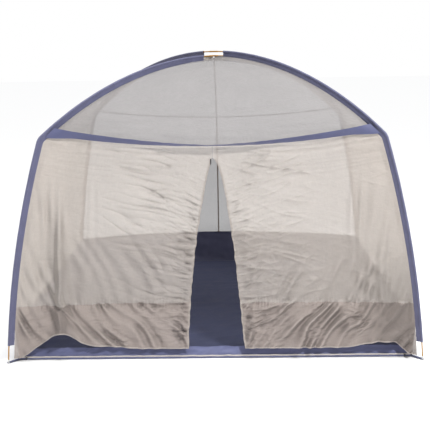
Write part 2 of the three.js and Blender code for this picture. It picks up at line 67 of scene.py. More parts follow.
floor_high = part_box("floor")[1]
FLOOR_HALF = floor_high.x
FLOOR_TOP = floor_high.z
SKIRT_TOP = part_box("skirt_left")[1].z
BACK_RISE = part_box("skirt_back")[1].z - SKIRT_TOP  # the tub wall at the back bows upward
SKIRT_LAP = 0.004  # how far the mesh walls overlap the tub walls
BINDING_WIDTH = 0.010  # of the bindings along the eaves

POLE_RADIUS = 0.00475
FOOT_REACH = 2.210  # from the middle of the floor to a pole foot, along the diagonal
FOOT_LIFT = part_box("leg_pole_front_left")[0].z
LEG_RADIUS = 6.150
LEG_LEAN = np.radians(4.8)
LEG_SWEEP = np.radians(15.5)
ELBOW_RADIUS = 0.090
ELBOW_OUTER = 0.0072
ELBOW_SOCKET = 0.040
LOW_ROOF_SLOPE = np.radians(34.7)
HIGH_ROOF_SLOPE = np.radians(36.9)
FERRULE_HALF = 0.050
FERRULE_OUTER = 0.0066

SLEEVE_RADIUS = 0.0092
SLEEVE_DEPTH = 0.046  # from the pole's axis to the seam
SLEEVE_START = 0.110  # length of bare pole below the sleeve
CROWN_OPEN = 0.125  # half the length of bare pole at the crown
EAVE_RISE = 0.070  # length along the pole from the elbow up to the eave seam
SEAM_INSET = 0.043  # from the pole's axis to the edge of the mesh, inside the sleeve's seam
SEAM_SIDE = 0.001  # and how far to the side of the pole's plane
CROWN_REACH = 0.014  # how far from the crown the roof panels end

FRONT_SAG = 0.103  # of the eave seam, in the middle of the front
BACK_SAG = 0.075  # and in the middle of the other sides
FRONT_PULL = 0.040  # how far the eave seam is drawn inward there
BACK_PULL = 0.012

BAND_WIDTH = 0.058
BAND_OFFSET = 0.009  # how far the band stands in front of the eave seam
BAND_HALF_SPAN = 1.212
BAND_TILT = np.radians(15)  # how far the band is turned up in the middle
BAND_TWIST = np.radians(80)  # and at its ends

CURTAIN_SIZE = (1.50, 1.56)  # flat width and height, before the zip's edge is cut back
HEM_HEIGHT = 0.080
HEM_FRONT = 1.508
HEM_END = 1.500  # how far to the side the hem reaches
PLEAT_REACH = 1.165  # where the left curtain has a deep pleat
HEM_DEPTH = 0.010  # of the binding along the hem
ZIP_TOP = 1.490
FOLD_FOOT = JOINTS["door_right_fold"]["pos_m"][0]  # where the door's fold line meets the hem
STRIP_TOP = 0.420  # seam between the curtain's mesh and its lower strip
tape_low, tape_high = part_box("sill_zip_tape")
TAPE_WIDTH = tape_high.z - tape_low.z
TAPE_PROUD = 0.6 * TAPE_WIDTH  # how far a door tape stands out past its curtain's edge
# part: how far a curtain stands open at the hem. power and bow: how early it parts below the
# top of the zip, and how it bows further down. crumple: the depth of its lower strip's folds.
Door = namedtuple("Door", "side sign part power bow crumple")
LEFT_DOOR = Door("left", -1, part=0.191, power=0.85, bow=1.63, crumple=0.028)
RIGHT_DOOR = Door("right", 1, part=0.224, power=0.54, bow=1.0, crumple=0.044)

sill_low, sill_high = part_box("sill")
SILL_HALF = tape_high.x
SILL_LIP = tape_low.z
SILL_HEIGHT = sill_high.z
SILL_FRONT = -sill_low.y
SILL_LEAN = sill_high.y - sill_low.y
LIP_SHARE = 0.25  # of the sill's rows of points

STRAP_WIDTH = 0.025
STRAP_HEIGHT = 0.007

KNIT_PITCH = 0.0018
WEAVE_PITCH = 0.0011
TUB_PITCH = 0.0016
TAPE_RIB = 0.0028

CAMERA_PLACE = (0.132, -7.497, 2.308)
CAMERA_TURNS = (-0.0189, 0.1967, -0.0159)  # yaw, pitch and roll
LENS = 69.5  # mm, on a film 36 mm wide
GROUND_HALF = 60.0
FRONT_MIDDLE = (0, -1.2, 0.9)  # what the soft boxes face
# each soft box's name, place, width and power in watts
SOFT_BOXES = [("key", (2.2, -4.3, 6.0), 0.8, 310), ("side", (-5.2, -3.6, 3.0), 1.0, 30)]

QUARTER_TURN = np.pi / 2
DIAGONAL = np.sqrt(0.5)


def lerp(low, high, share):
    return low + (high - low) * share


def smooth(low, high, value):
    """0 below low, 1 above high, eased between."""
    share = np.clip((value - low) / (high - low), 0, 1)
    return share * share * (3 - 2 * share)


def bump(value, centre, width):
    """1 at the centre, fading to 0 a few widths away."""
    return np.exp(-(((value - centre) / width) ** 2))


def xyz(x, y, z):
    return np.stack(np.broadcast_arrays(x, y, z), axis=-1)


def path_length(points):
    return float(np.linalg.norm(np.diff(points, axis=0), axis=1).sum())


# -------- the pole line


class PoleLine:
    """One quarter of a pole in its upright plane: a bowed leg, an elbow and a roof arc."""

    def __init__(self, roof_slope):
        self.arcs = []
        self.start = np.array([FOOT_REACH, FOOT_LIFT])
        self.length = 0.0
        elbow_lean = LEG_LEAN + LEG_SWEEP
        roof_lean = QUARTER_TURN - roof_slope
        self.leg_end = self.add_arc(LEG_RADIUS, LEG_LEAN, elbow_lean)
        self.roof_start = self.add_arc(ELBOW_RADIUS, elbow_lean, roof_lean)
        roof_radius = self.start[0] / np.sin(roof_slope)
        self.crown = self.add_arc(roof_radius, roof_lean, QUARTER_TURN)
        self.elbow_middle = (self.leg_end + self.roof_start) / 2
        self.eave = self.roof_start + EAVE_RISE

    def add_arc(self, radius, lean_from, lean_to):
        """Goes on along an arc, and returns the length of the line up to its end."""
        outward = np.array([np.cos(lean_from), np.sin(lean_from)])
        centre = self.start - radius * outward
        self.arcs.append((centre[0], centre[1], radius, lean_from, self.length))
        self.length += radius * (lean_to - lean_from)
        self.start = centre + radius * np.array([np.cos(lean_to), np.sin(lean_to)])
        return self.length

    def at(self, station, offset=0.0):
        """Reach and height at a length along the pole; past the crown it runs down the far side."""
        station = np.asarray(station, float)
        side = np.where(station > self.crown, -1.0, 1.0)
        near = self.crown - np.abs(self.crown - station)
        starts = [arc[4] for arc in self.arcs]
        index = np.clip(np.searchsorted(starts, near, side="right") - 1, 0, len(starts) - 1)
        arc = np.moveaxis(np.array(self.arcs)[index], -1, 0)
        centre_x, centre_z, radius, lean_from, begin = arc
        lean = lean_from + (near - begin) / radius
        arm = radius + offset
        return side * (centre_x + arm * np.cos(lean)), centre_z + arm * np.sin(lean)


LOW_LINE = PoleLine(LOW_ROOF_SLOPE)
HIGH_LINE = PoleLine(HIGH_ROOF_SLOPE)

QUARTERS = [
    ("front_left", 2.5 * QUARTER_TURN, LOW_LINE),
    ("front_right", 3.5 * QUARTER_TURN, HIGH_LINE),
    ("back_right", 0.5 * QUARTER_TURN, LOW_LINE),
    ("back_left", 1.5 * QUARTER_TURN, HIGH_LINE),
]

SIDES = {
    "front": (0, FRONT_SAG, FRONT_PULL, LOW_LINE, HIGH_LINE),
    "right": (QUARTER_TURN, BACK_SAG, BACK_PULL, HIGH_LINE, LOW_LINE),
    "back": (2 * QUARTER_TURN, BACK_SAG, BACK_PULL, LOW_LINE, HIGH_LINE),
    "left": (3 * QUARTER_TURN, BACK_SAG, BACK_PULL, HIGH_LINE, LOW_LINE),
}

SEAM_REACHES, SEAM_HEIGHTS = LOW_LINE.at(np.linspace(-0.05, LOW_LINE.eave, 400), -SEAM_INSET)
EAVE_HALF = SEAM_REACHES[-1] * DIAGONAL
EAVE_HEIGHT = SEAM_HEIGHTS[-1]
EAVE_MIDDLE = EAVE_HEIGHT - FRONT_SAG
HEAD_FRONT = EAVE_HALF - FRONT_PULL


def half_width(height):
    """Half the width of the shelter where the mesh meets a leg's sleeve."""
    return np.interp(height, SEAM_HEIGHTS, SEAM_REACHES) * DIAGONAL


def turned(points, azimuth):
    """Points turned about the upright axis."""
    cos, sin = np.cos(azimuth), np.sin(azimuth)
    x, y, z = np.moveaxis(points, -1, 0)
    return xyz(x * cos - y * sin, x * sin + y * cos, z)


def beside_pole(line, azimuth, station, radial, lateral):
    """Points at a station of a pole, moved outward from its axis and sideways."""
    reach, height = line.at(station, radial)
    return turned(xyz(reach, lateral, height), azimuth)


# -------- creases

PERMUTED = np.random.default_rng(11).permutation(256)


def noise(x, y):
    """Smooth gradient noise of two coordinates, about -1 to 1."""
    cell_x, cell_y = np.floor(x).astype(int), np.floor(y).astype(int)
    part_x, part_y = x - cell_x, y - cell_y
    ease_x, ease_y = smooth(0, 1, part_x), smooth(0, 1, part_y)

    def corner(right, above):
        hashed = PERMUTED[(PERMUTED[(cell_x + right) % 256] + cell_y + above) % 256]
        angle = hashed / 256 * 2 * np.pi
        return np.cos(angle) * (part_x - right) + np.sin(angle) * (part_y - above)

    below = lerp(corner(0, 0), corner(1, 0), ease_x)
    above = lerp(corner(0, 1), corner(1, 1), ease_x)
    return 1.5 * lerp(below, above, ease_y)


def slanted(x, y, angle):
    """Coordinates along and across a direction, which is given in degrees."""
    turn = np.radians(angle)
    return x * np.cos(turn) + y * np.sin(turn), y * np.cos(turn) - x * np.sin(turn)


def creases(x, y, angle, spacing, length, seed, sharpness=3.0):
    """Raised creases, 0 to 1, that run at an angle in degrees, wandering a little."""
    along, across = slanted(x, y, angle)
    across = across + 0.35 * spacing * noise(x / length * 1.7 + seed, y / length * 1.7)
    ridge = 1 - np.abs(noise(along / length + seed, across / spacing + 3.7 * seed))
    return np.clip(ridge, 0, 1) ** sharpness


def folds(x, y, angle, spacing, length, seed):
    """Rounded folds, 0 to 1, side by side at an angle in degrees, drifting as they run."""
    along, across = slanted(x, y, angle)
    drift = 0.8 * noise(across / (2.5 * spacing) + seed, along / length)
    uneven = noise(across / (1.7 * spacing), along / length + seed)
    strength = lerp(0.3, 1.0, smooth(-0.3, 0.4, uneven))
    return strength * (0.5 + 0.5 * np.sin(2 * np.pi * (across / spacing + drift)))


def softly(x, y, scale, seed):
    """Broad slow undulation, -1 to 1."""
    return noise(x / scale + seed, y / scale + 2.3 * seed)


# -------- meshes


def grid_normals(points):
    normal = np.cross(np.gradient(points, axis=1), np.gradient(points, axis=0))
    return normal / np.maximum(np.linalg.norm(normal, axis=2, keepdims=True), 1e-12)


def unit_grid(columns, rows):
    """Across and up, each from 0 to 1, over a grid."""
    return np.meshgrid(np.linspace(0, 1, columns + 1), np.linspace(0, 1, rows + 1))


def make_object(name, vertices, faces, uvs=None):
    mesh = bpy.data.meshes.new(name)
    mesh.from_pydata(np.asarray(vertices, float).reshape(-1, 3).tolist(), [], faces)
    if uvs is not None:
        layer = mesh.uv_layers.new(name="cloth")
        corners = np.zeros(len(mesh.loops), np.int32)
        mesh.loops.foreach_get("vertex_index", corners)
        layer.data.foreach_set("uv", np.asarray(uvs, np.float32)[corners].ravel())
    mesh.shade_smooth()
    mesh.update()
    obj = bpy.data.objects.new(name, mesh)
    bpy.context.scene.collection.objects.link(obj)
    return obj


def grid_object(name, points, size):
    """A sheet over a grid of points, with UVs in metres over its flat size (width, length)."""
    rows, columns = points.shape[0] - 1, points.shape[1] - 1
    start = (np.arange(rows)[:, None] * (columns + 1) + np.arange(columns)).ravel()
    corners = [start, start + 1, start + columns + 2, start + columns + 1]
    faces = np.stack(corners, axis=1).tolist()
    across, up = unit_grid(columns, rows)
    uvs = np.stack([across * size[0], up * size[1]], axis=-1).reshape(-1, 2)
    return make_object(name, points, faces, uvs)


def creased_sheet(name, base, relief, size, bunched=0.0):
    """A sheet whose relief is moved out of its base, and that knows where it is gathered.

    Netting that lies at a slant to its sheet is bunched up: less shows through it, and its material
    darkens it there as painted shade. bunched adds the gathering that is finer than the grid.
    """
    smooth_out = grid_normals(base)
    points = base + relief[..., None] * smooth_out
    facing = np.abs((grid_normals(points) * smooth_out).sum(axis=2))
    obj = grid_object(name, points, size)
    # the share both thickens the netting and, in its material, darkens it as painted shade
    gather_and_fold_shade = obj.data.attributes.new("gather_and_fold_shade", "FLOAT", "POINT")
    share = np.clip(1 / np.maximum(facing, 0.4) - 1, 0, 1.5) + bunched
    gather_and_fold_shade.data.foreach_set("value", share.astype(np.float32).ravel())
    return obj, points


def ring_faces(rings, sides):
    """Faces between rings of points, with a cap on each end."""
    faces = []
    for ring in range(rings - 1):
        for i in range(sides):
            j = (i + 1) % sides
            low, high = ring * sides, (ring + 1) * sides
            faces.append((low + i, low + j, high + j, high + i))
    faces.append(tuple(range(sides))[::-1])
    faces.append(tuple(range((rings - 1) * sides, rings * sides)))
    return faces


def round_tube(name, line, azimuth, profile, sides=20):
    """A round piece along a pole: profile lists (station, radius) from end to end."""
    stations, radii = (np.array(column, float) for column in zip(*profile))
    angles = np.linspace(0, 2 * np.pi, sides, endpoint=False)
    radial = radii[:, None] * np.cos(angles)
    lateral = radii[:, None] * np.sin(angles)
    station = np.repeat(stations[:, None], sides, axis=1)
    points = beside_pole(line, azimuth, station, radial, lateral)
    uvs = np.stack([angles * radii[:, None], station], axis=-1).reshape(-1, 2)
    return make_object(name, points, ring_faces(len(stations), sides), uvs)


def lathe(name, profile, sides=32):
    """A round piece about the upright axis: profile lists (radius, height) from end to end."""
    angles = np.linspace(0, 2 * np.pi, sides, endpoint=False)
    radius, height = (np.array(column, float)[:, None] for column in zip(*profile))
    points = xyz(radius * np.cos(angles), radius * np.sin(angles), height)
    uvs = np.stack([radius * angles, points[..., 2]], axis=-1).reshape(-1, 2)
    return make_object(name, points, ring_faces(len(profile), sides), uvs)


# -------- materials


class Shader:
    """A material or a world, with short ways to add nodes to it and join them."""

    def __init__(self, name, library="materials"):
        self.block = getattr(bpy.data, library).new(name)
        self.block.use_nodes = True
        self.tree = self.block.node_tree
        self.tree.nodes.clear()

    def add(self, kind, inputs=None, **settings):
        """A node with its inputs, each from a fixed value or from another node's output."""
        node = self.tree.nodes.new("ShaderNode" + kind)
        for setting, value in settings.items():
            setattr(node, setting, value)
        for socket, value in (inputs or {}).items():
            if isinstance(value, bpy.types.NodeSocket):
                self.tree.links.new(value, node.inputs[socket])
            else:
                node.inputs[socket].default_value = value
        return node

    def math(self, operation, first, second=0.0):
        return self.add("Math", {0: first, 1: second}, operation=operation).outputs[0]

    def cloth_coordinates(self):
        """The flat cloth's own coordinates, in metres: across, up, and both together."""
        uv = self.add("UVMap", uv_map="cloth").outputs["UV"]
        parts = self.add("SeparateXYZ", {"Vector": uv})
        return parts.outputs["X"], parts.outputs["Y"], uv

    def position(self):
        return self.add("TexCoord").outputs["Object"]

    def noise(self, vector, scale, detail=3.0, stretch=(1, 1, 1)):
        scaled = self.add("Mapping", {"Vector": vector, "Scale": stretch}).outputs["Vector"]
        wanted = {"Vector": scaled, "Scale": scale, "Detail": detail}
        return self.add("TexNoise", wanted).outputs["Fac"]

    def threads(self, coordinate, pitch):
        """Rounded threads side by side, 0 between them and 1 on top."""
        wave = self.math("SINE", self.math("MULTIPLY", coordinate, 2 * np.pi / pitch))
        return self.rescale(wave, -1, 1, 0, 1)

    def rescale(self, value, from_low, from_high, to_low, to_high):
        ends = {"From Min": from_low, "From Max": from_high, "To Min": to_low, "To Max": to_high}
        return self.add("MapRange", {"Value": value, **ends}).outputs["Result"]

    def tint(self, colour, value, low, high):
        """A colour multiplied by low to high, as the value goes from 0.25 to 0.75."""
        share = self.rescale(value, 0.25, 0.75, low, high)
        grey = self.add("CombineXYZ", {"X": share, "Y": share, "Z": share}).outputs["Vector"]
        rgb = colour if isinstance(colour, bpy.types.NodeSocket) else (*colour, 1.0)
        sockets = {0: 1.0, 6: rgb, 7: grey}  # of a colour mix: the factor, A and B
        return self.add("Mix", sockets, data_type="RGBA", blend_type="MULTIPLY").outputs[2]

    def bump(self, height, strength, distance):
        wanted = {"Height": height, "Strength": strength, "Distance": distance}
        return self.add("Bump", wanted).outputs["Normal"]

    def principled(self, colour, roughness, normal=None, **fixed):
        inputs = {"Base Color": colour, "Roughness": roughness}
        if normal is not None:
            inputs["Normal"] = normal
        inputs.update({name.replace("_", " "): value for name, value in fixed.items()})
        return self.add("BsdfPrincipled", inputs).outputs["BSDF"]

    def finish(self, surface, kind="Material"):
        self.add("Output" + kind, {"Surface": surface})
        return self.block


def mesh_cloth(name, colour, opacity, glow=0.22):
    """Fine knitted netting: partly see-through, denser where it is gathered and darkened there with
    painted shade, lit from behind.
    """
    shader = Shader(name)
    across, up, uv = shader.cloth_coordinates()
    gather_and_fold_shade = shader.add("Attribute", attribute_name="gather_and_fold_shade").outputs["Fac"]
    courses, wales = shader.threads(up, KNIT_PITCH), shader.threads(across, KNIT_PITCH)
    knit = shader.math("MULTIPLY", wales, courses)
    slub_across = shader.noise(uv, 1.0, 2.0, (14, 520, 1))
    slub_up = shader.noise(uv, 1.0, 2.0, (520, 14, 1))
    slubs = shader.math("MULTIPLY", shader.math("ADD", slub_across, slub_up), 0.5)

    tone = shader.tint(colour, slubs, 0.95, 1.05)
    tone = shader.tint(tone, shader.noise(uv, 2.5), 0.96, 1.04)
    # painted shade: the netting is darkened where it is gathered, standing in for the shade in its
    # folds
    tone = shader.tint(tone, shader.rescale(gather_and_fold_shade, 0.0, 0.8, 0.25, 0.75), 1.0, 0.50)

    uneven = shader.rescale(slubs, 0.3, 0.7, -0.05, 0.05)
    holes = shader.rescale(knit, 0.0, 1.0, 0.05, -0.08)
    bunched = shader.rescale(gather_and_fold_shade, 0.0, 1.2, 0.0, 0.92 - opacity)
    cover = shader.math("ADD", shader.math("ADD", uneven, holes), opacity)
    cover = shader.math("ADD", cover, bunched)

    crinkle = shader.noise(uv, 1.0, 3.0, (35, 60, 1))
    height = shader.math("ADD", crinkle, shader.math("MULTIPLY", knit, 0.06))
    normal = shader.bump(height, 0.6, 0.010)
    front = shader.principled(tone, 0.5, normal, Sheen_Weight=0.1, Specular_IOR_Level=0.45)
    through = shader.add("BsdfTranslucent", {"Color": tone, "Normal": normal}).outputs["BSDF"]
    thread = shader.add("MixShader", {0: glow, 1: front, 2: through}).outputs["Shader"]
    clear = shader.add("BsdfTransparent").outputs["BSDF"]
    return shader.finish(shader.add("MixShader", {0: cover, 1: clear, 2: thread}).outputs[0])


def coated_cloth(name, colour, pitch=WEAVE_PITCH, sheen=0.25, roughness=0.62):
    """Coated plain-weave polyester: a fine weave, faint scuffs, a soft sheen."""
    shader = Shader(name)
    across, up, uv = shader.cloth_coordinates()
    weave = shader.math("ADD", shader.threads(across, pitch), shader.threads(up, pitch))
    scuffs = shader.noise(uv, 9.0, 5.0)
    patches = shader.noise(uv, 1.7, 2.0)
    tone = shader.tint(colour, scuffs, 0.90, 1.12)
    tone = shader.tint(tone, patches, 0.93, 1.07)
    rough = shader.rescale(scuffs, 0.3, 0.7, roughness - 0.08, roughness + 0.1)
    crumple = shader.noise(uv, 38.0, 4.0)
    height = shader.math("ADD", shader.math("MULTIPLY", weave, 0.12), crumple)
    normal = shader.bump(height, 0.35, 0.002)
    fixed = {"Sheen_Weight": sheen, "Specular_IOR_Level": 0.35}
    return shader.finish(shader.principled(tone, rough, normal, **fixed))


def webbing(name, colour, rib=0.0022):
    """Woven tape: ribs across it and a fine twill along it."""
    shader = Shader(name)
    across, up, uv = shader.cloth_coordinates()
    ribs = shader.threads(up, rib)
    twill = shader.threads(shader.math("ADD", across, up), rib / 2)
    height = shader.math("ADD", ribs, shader.math("MULTIPLY", twill, 0.4))
    fuzz = shader.noise(uv, 120.0, 3.0)
    tone = shader.tint(colour, fuzz, 0.86, 1.12)
    # painted shade: darker between the ribs and lighter on their tops
    tone = shader.tint(tone, ribs, 0.9, 1.06)
    normal = shader.bump(height, 0.5, 0.0008)
    return shader.finish(shader.principled(tone, 0.78, normal, Sheen_Weight=0.2))


def hard_finish(name, colour, roughness, metallic=0.0, mottle=0.08):
    """Resin, plastic or metal: faint mottling, fine scratches, roughness that varies."""
    shader = Shader(name)
    place = shader.position()
    cloudy = shader.noise(place, 30.0, 4.0)
    scratches = shader.noise(place, 220.0, 3.0, (1, 1, 0.06))
    tone = shader.tint(colour, cloudy, 1 - mottle, 1 + mottle)
    rough = shader.rescale(scratches, 0.3, 0.7, max(roughness - 0.08, 0.05), roughness + 0.1)
    normal = shader.bump(scratches, 0.15, 0.0004)
    return shader.finish(shader.principled(tone, rough, normal, Metallic=metallic))


NAVY = (0.115, 0.118, 0.205)

# CURTAIN_MESH carries the netting's own colour. The roof, wall and back netting are darker copies
# of it, painted shade for cloth that stands in less light: the front roof, the side panels and
# walls, and darkest the back.
CURTAIN_MESH = mesh_cloth("curtain_mesh", (0.90, 0.81, 0.735), 0.49)
# painted shade: the curtains' lower strip is a darker copy of the same netting, lit less low down
SHADED_STRIP_MESH = mesh_cloth("curtain_strip_shaded", (0.53, 0.45, 0.405), 0.80, 0.12)
SHADED_ROOF_MESH = mesh_cloth("roof_mesh_shaded", (0.425, 0.405, 0.40), 0.55)
SHADED_WALL_MESH = mesh_cloth("wall_mesh_shaded", (0.46, 0.405, 0.355), 0.86)
SHADED_BACK_MESH = mesh_cloth("back_mesh_shaded", (0.335, 0.317, 0.322), 0.66)
SEAM_TAPE = webbing("seam_binding", (0.62, 0.565, 0.52))
BROWN_TAPE = webbing("back_zip_tape", (0.36, 0.285, 0.235))
ZIP_TAPE = webbing("zip_tape", (0.60, 0.555, 0.52), TAPE_RIB)
DOOR_TAPE = webbing("door_zip_tape", (0.42, 0.37, 0.335), TAPE_RIB)
HEM_TAPE = webbing("hem_binding", (0.44, 0.39, 0.355), TAPE_RIB)
NAVY_CLOTH = coated_cloth("sleeve_cloth", NAVY)
BAND_CLOTH = coated_cloth("band_cloth", (0.100, 0.108, 0.210), sheen=0.3)
TUB_CLOTH = coated_cloth("tub_cloth", (0.044, 0.053, 0.112), TUB_PITCH, 0.15, 0.6)
SKIRT_CLOTH = coated_cloth("skirt_cloth", (0.145, 0.155, 0.255), TUB_PITCH, 0.2, 0.6)
SILL_CLOTH = coated_cloth("sill_cloth", (0.130, 0.142, 0.265))
STRAP_WEB = webbing("strap_webbing", (0.075, 0.085, 0.18))
RESIN = hard_finish("pole_resin", (0.42, 0.19, 0.004), 0.5, mottle=0.10)
STEEL = hard_finish("ferrule_steel", (0.56, 0.57, 0.60), 0.30, metallic=1.0)
TIP_PLASTIC = hard_finish("tip_plastic", (0.78, 0.78, 0.75), 0.45)
CORD_COVER = hard_finish("shock_cord_cover", (0.03, 0.03, 0.035), 0.85, mottle=0.3)
ZIP_METAL = hard_finish("zip_metal", (0.085, 0.085, 0.095), 0.35, metallic=0.8)


def dress(obj, material):
    """Gives an object this material and no other."""
    obj.data.materials.clear()
    obj.data.materials.append(material)


def settle(obj, material, replaced=(), door=None):
    """Gives a finished piece its material, what it stands for and its body.

    The pieces of a curtain are baked in place and hung on no body.
    """
    dress(obj, material)
    if replaced:
        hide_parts(*replaced)
    if door:
        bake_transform(obj)
    else:
        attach(obj, "root")


# -------- poles and their fittings


def chamfered(start, end, radius, lip=0.0008, steps=24):
    """A tube's profile with its end edges rounded off."""
    inside = [(s, radius) for s in np.linspace(start + lip, end - lip, steps)]
    return [(start, radius - lip), *inside, (end, radius - lip)]


def add_pole_quarter(quarter, azimuth, line):
    """A leg pole, a roof pole, and the elbow that takes an end of each."""
    leg = chamfered(0, line.leg_end, POLE_RADIUS)
    roof = chamfered(line.roof_start, line.crown - 0.0003, POLE_RADIUS, steps=40)
    for kind, profile in (("leg", leg), ("roof", roof)):
        pole = round_tube(f"pole_{kind}_{quarter}", line, azimuth, profile)
        settle(pole, RESIN, [f"{kind}_pole_{quarter}"])
    start, end = line.leg_end - ELBOW_SOCKET, line.roof_start + ELBOW_SOCKET
    bend = chamfered(start, end, ELBOW_OUTER, 0.0012, 30)
    elbow = round_tube(f"elbow_tube_{quarter}", line, azimuth, bend)
    settle(elbow, STEEL, [f"elbow_{quarter}"])


def add_crown(name, line, azimuth):
    """The ferrule that joins the two halves of a pole, amber like them, beaded at each lip."""
    start, end = line.crown - FERRULE_HALF, line.crown + FERRULE_HALF
    bead = [(0, POLE_RADIUS), (0.0012, FERRULE_OUTER), (0.004, FERRULE_OUTER)]
    bead.append((0.006, FERRULE_OUTER - 0.0004))
    profile = [(start + inset, radius) for inset, radius in bead]
    profile += [(end - inset, radius) for inset, radius in reversed(bead)]
    ferrule = round_tube(f"ferrule_{name}", line, azimuth, profile)
    settle(ferrule, RESIN, [f"crown_ferrule_{name}"])
    dress(frame["nodes"][f"shock_cord_{name}"], CORD_COVER)


def add_foot_plug(quarter, azimuth):
    """The white tip under a pole: a pin for the strap's eyelet and a collar that bears the pole."""
    profile = [(0.001, 0.0002), (0.0024, 0.0006), (0.004, 0.003), (0.004, 0.013)]
    profile += [(0.0058, 0.0138), (0.0065, 0.0148), (0.0065, 0.0235), (0.0058, 0.0246)]
    profile += [(0.005, 0.0247)]
    plug = lathe(f"plug_{quarter}", profile)
    lean = Matrix.Translation((FOOT_REACH, 0, FOOT_LIFT)) @ Matrix.Rotation(-LEG_LEAN, 4, "Y")
    lowered = Matrix.Translation((0, 0, -FOOT_LIFT))
    plug.data.transform(Matrix.Rotation(azimuth, 4, "Z") @ lean @ lowered)
    settle(plug, TIP_PLASTIC, [f"foot_plug_{quarter}"])


# -------- sleeves


def sleeve_section():
    """Half-width and rise across a sleeve, from one seam edge round the pole to the other."""
    wrap = np.radians(-20)
    angles = np.linspace(wrap, np.pi - wrap, 15)
    side, rise = SLEEVE_RADIUS * np.cos(angles), SLEEVE_RADIUS * np.sin(angles)
    stitch = (0.0020, -0.0150)  # the line of stitching that closes the channel on the pole
    flap = [(0.0016, -SLEEVE_DEPTH), (0.0034, -0.036), (0.0036, -0.025), stitch]
    lateral = [p[0] for p in flap] + list(side) + [-p[0] for p in reversed(flap)]
    radial = [p[1] for p in flap] + list(rise) + [p[1] for p in reversed(flap)]
    return np.array(lateral), np.array(radial)


def add_sleeve(kind, quarter, azimuth, line, start, end, seed):
    """A tube of coated cloth round the pole, puckered along its stitching."""
    lateral, radial = sleeve_section()
    rows = int((end - start) / 0.009)
    stations = np.linspace(start, end, rows + 1)[:, None] + 0 * lateral
    depth = -radial / SLEEVE_DEPTH
    loose = smooth(0.1, 0.5, depth) * (1 - smooth(0.85, 1.0, depth))
    ripple = noise(stations / 0.05 + seed, depth * 1.5 + np.sign(lateral) * 4)
    slack = noise(stations / 0.22 + seed, 0 * depth + 5.1)
    sideways = np.sign(lateral) * (0.0016 * ripple + 0.0016 * slack) * loose
    around = smooth(-0.1, 0.25, -depth)
    swell = 1 + around * 0.10 * noise(stations / 0.08 + seed, lateral / 0.012)
    pucker = 0.0012 * noise(stations / 0.035 + seed, 0 * depth + 9.0) * smooth(0.8, 1.0, depth)
    radial, lateral = radial * swell + pucker, lateral * swell + sideways
    points = beside_pole(line, azimuth, stations, radial, lateral)
    flat = (path_length(np.stack(sleeve_section(), axis=-1)), float(end - start))
    sleeve = grid_object(f"sleeve_{kind}_{quarter}", points, flat)
    settle(sleeve, NAVY_CLOTH, [f"{kind}_sleeve_{quarter}"])


def add_sleeves(quarter, azimuth, line, seed):
    middle = line.elbow_middle
    add_sleeve("leg", quarter, azimuth, line, SLEEVE_START, middle, seed)
    add_sleeve("roof", quarter, azimuth, line, middle, line.crown - CROWN_OPEN, seed + 50)


# -------- roof, walls and tub


def middleness(across):
    """1 in the middle of a side and 0 at its corners."""
    return 1 - (2 * across - 1) ** 2


def roof_base(side, across, up):
    """The taut surface of a roof panel, as it lies on the front, from the eave to the crown."""
    _, sag, pull, left_line, right_line = SIDES[side]

    def edge(line):
        reach, height = line.at(lerp(line.eave, line.crown - CROWN_REACH, up), -SEAM_INSET)
        return reach * DIAGONAL, height

    left, left_z = edge(left_line)
    right, right_z = edge(right_line)
    slack = middleness(across) * (1 - up) ** 2
    x = lerp(SEAM_SIDE - left, right - SEAM_SIDE, across)
    y = lerp(-left, -right, across) + pull * slack
    z = lerp(left_z, right_z, across) - sag * slack
    return xyz(x, y, z)


def held_edges(across, up, margin=0.03):
    """0 along the edges of a grid, where the cloth is sewn down, and 1 further in."""
    side = smooth(0, margin, across) * smooth(0, margin, 1 - across)
    return side * smooth(0, margin, up) * smooth(0, margin, 1 - up)


def add_roof_panel(side, seed):
    across, up = unit_grid(110, 80)
    points = roof_base(side, across, up)
    x, rise = points[..., 0], up * 1.4
    fan = creases(across * 7, rise, 90, 0.5, 1.2, seed) * smooth(0.55, 0.95, up)
    along_eave = creases(x, rise, 0, 0.06, 0.7, seed + 1) * (1 - smooth(0.0, 0.22, up))
    relief = 0.006 * fan + 0.006 * along_eave + 0.008 * softly(x, rise, 0.4, seed)
    relief += 0.004 * creases(x, rise, 12, 0.16, 0.9, seed + 2, 5.0)
    base = turned(points, SIDES[side][0])
    middle = base[:, base.shape[1] // 2]
    flat = (2 * EAVE_HALF, path_length(middle))
    panel, _ = creased_sheet(f"roof_{side}", base, relief * held_edges(across, up), flat)
    # painted shade: each roof panel takes the darker copy of the netting for how little light it
    # stands in
    look = {"front": SHADED_ROOF_MESH, "back": SHADED_BACK_MESH}.get(side, SHADED_WALL_MESH)
    settle(panel, look, [f"roof_panel_{side}"])


def skirt_top(side, across):
    """Height of the seam between a tub wall and the mesh wall above it."""
    rise = BACK_RISE if side == "back" else 0.0
    return SKIRT_TOP + rise * middleness(across)


def wall_base(side, across, up):
    """The taut surface of a mesh wall, as it lies on the front, from the tub to the eave."""
    _, sag, pull, _, _ = SIDES[side]
    height = lerp(skirt_top(side, across) - SKIRT_LAP, EAVE_HEIGHT, up)
    half = half_width(height)
    slack = middleness(across) * up**2
    x = lerp(-1, 1, across) * (half - SEAM_SIDE)
    return xyz(x, -half + pull * slack, height - sag * slack)


